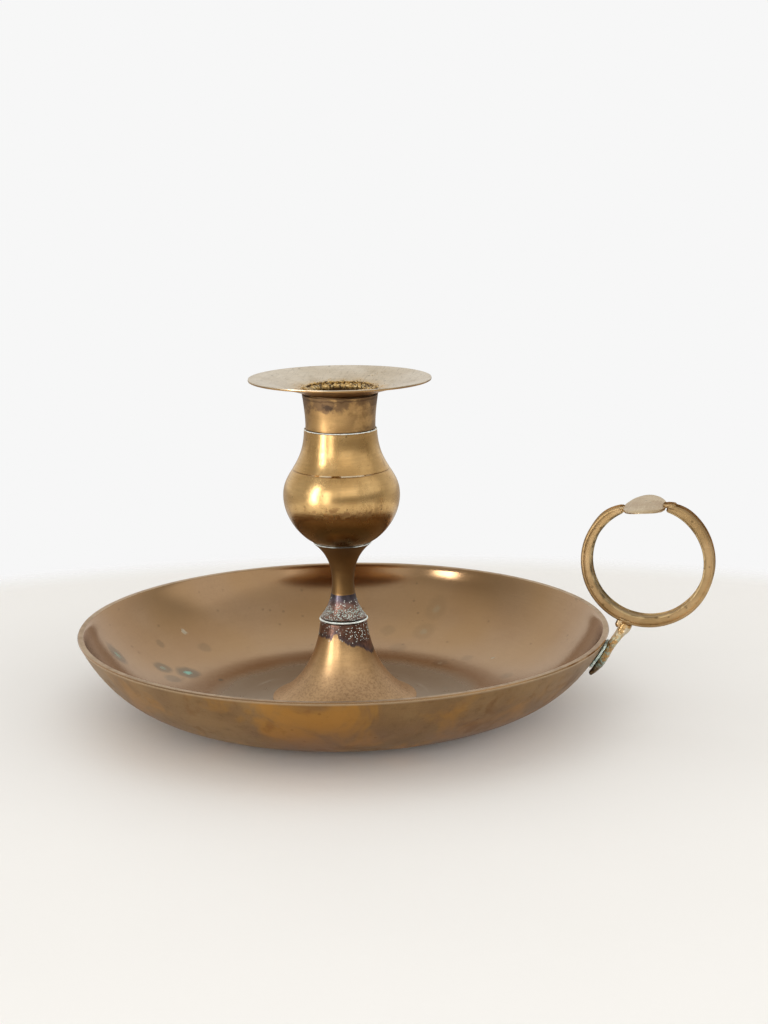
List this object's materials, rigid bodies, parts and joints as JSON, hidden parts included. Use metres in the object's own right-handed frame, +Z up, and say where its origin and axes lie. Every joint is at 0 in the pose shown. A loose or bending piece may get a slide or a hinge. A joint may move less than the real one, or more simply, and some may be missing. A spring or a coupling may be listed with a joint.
{
  "type": "chamber candlestick",
  "caption": "Brass chamber candlestick: bowl-shaped dish, trumpet foot, turned stem with onion cup, drip pan on a collar, and a ring handle with a thumb rest.",
  "frame": {"origin": "on the column's axis, in the plane the dish rests on, at the middle of the countersunk bolt head", "axes": "+Z up along the column, +X towards the ring handle, +Y to the left of the handle"},
  "size_m": [0.2147, 0.18, 0.1127],
  "materials": {
    "dish_brass": "dull brown patina inside, mottled golden outside",
    "turned_brass": "turned, worn polish with heat stain at the solder seam",
    "cup_brass": "turned, worn polish",
    "pan_brass": "satin, tarnished, wax-stained round the hole",
    "ring_brass": "cast, satin, worn edges",
    "rest_brass": "dull satin",
    "soft_solder": "dull grey tin-lead solder with pale green corrosion",
    "bolt_steel": "dull"
  },
  "bodies": {
    "stand": {"dish": "dish_brass", "foot": "turned_brass", "stem": "turned_brass", "stem_solder": "soft_solder", "centre_bolt": "bolt_steel", "candle_cup": "cup_brass", "handle_ring": "ring_brass", "thumb_rest": "rest_brass", "handle_bracket": "ring_brass", "handle_solder": "soft_solder"},
    "nozzle": {"nozzle_collar": "cup_brass", "drip_pan": "pan_brass"}
  },
  "joints": [
    {"name": "nozzle_lift", "type": "slide", "parent": "stand", "child": "nozzle", "axis": [0, 0, 1], "range_m": [0, 0.016]}
  ]
}
